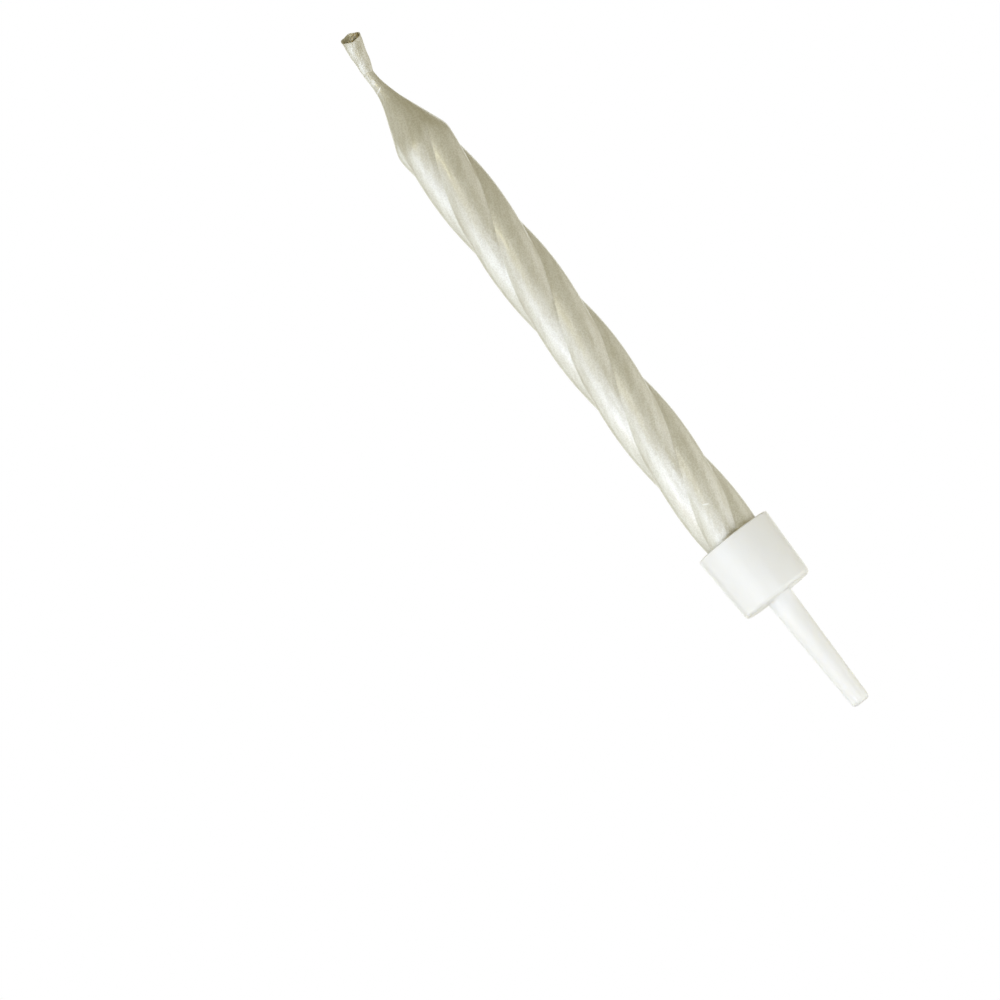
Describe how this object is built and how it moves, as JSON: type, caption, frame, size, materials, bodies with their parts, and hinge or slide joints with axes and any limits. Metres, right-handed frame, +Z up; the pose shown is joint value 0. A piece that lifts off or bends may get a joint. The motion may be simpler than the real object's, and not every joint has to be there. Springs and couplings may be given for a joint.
{
  "type": "birthday candle",
  "caption": "Twisted, fluted wax candle with a pearl skin, drawn tip and bent wick stub, standing in a white moulded cup with a tapered spike that is pushed into a cake.",
  "frame": {"origin": "centre of the cup's underside, where the holder sits on the cake", "axes": "+Z up along the candle to the wick, -Z along the spike, +X to the side that the wick's cut end leans to"},
  "size_m": [0.0078, 0.0078, 0.0791],
  "materials": {
    "wick_cotton": "waxed cotton cord, cut end bare",
    "white_wax": "plain white paraffin wax",
    "pearl_coat": "pearl-white lacquer wax, satin with fine shimmer",
    "holder_plastic": "natural white polyethylene, slightly translucent"
  },
  "bodies": {
    "holder": {"holder": "holder_plastic"},
    "candle": {"wick": "wick_cotton", "wax_body": "white_wax", "pearl_skin": "pearl_coat"}
  },
  "joints": [
    {"name": "candle_lift", "type": "slide", "parent": "holder", "child": "candle", "axis": [0, 0, 1], "range_m": [0, 0.015]}
  ]
}
